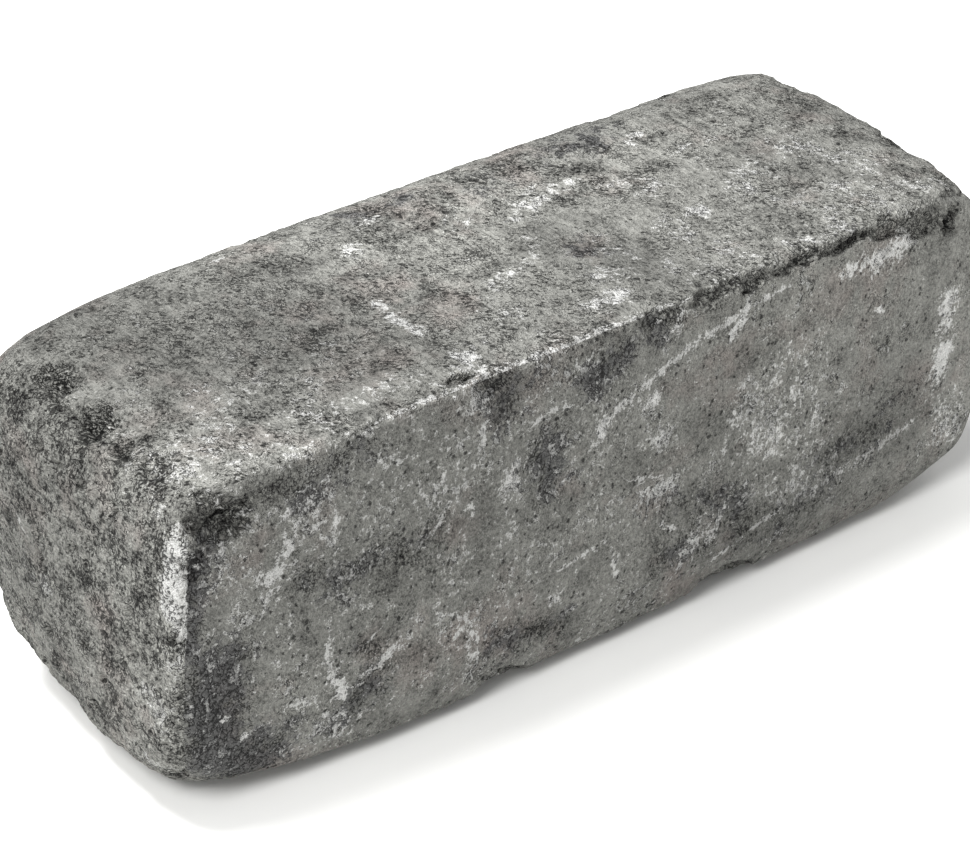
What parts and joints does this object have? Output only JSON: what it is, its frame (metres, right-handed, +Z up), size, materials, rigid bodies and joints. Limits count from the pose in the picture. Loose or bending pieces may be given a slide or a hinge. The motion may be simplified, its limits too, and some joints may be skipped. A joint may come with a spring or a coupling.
{
  "type": "concrete wall block",
  "caption": "Solid cuboid walling block of tumbled concrete, with rounded chipped edges and knocked-off corners, lying on its flat bed face.",
  "frame": {"origin": "middle of the bed face that the block lies on", "axes": "+X along the length, +Z up out of the bed towards the top face, -Y out of the face that shows in a wall"},
  "size_m": [0.3, 0.11, 0.11],
  "materials": {
    "concrete": "dry-cast anthracite grey concrete, tumbled: matt and granular, with dark pores, pale scuffs and lime bloom"
  },
  "bodies": {
    "root": {"block": "concrete"}
  },
  "joints": []
}
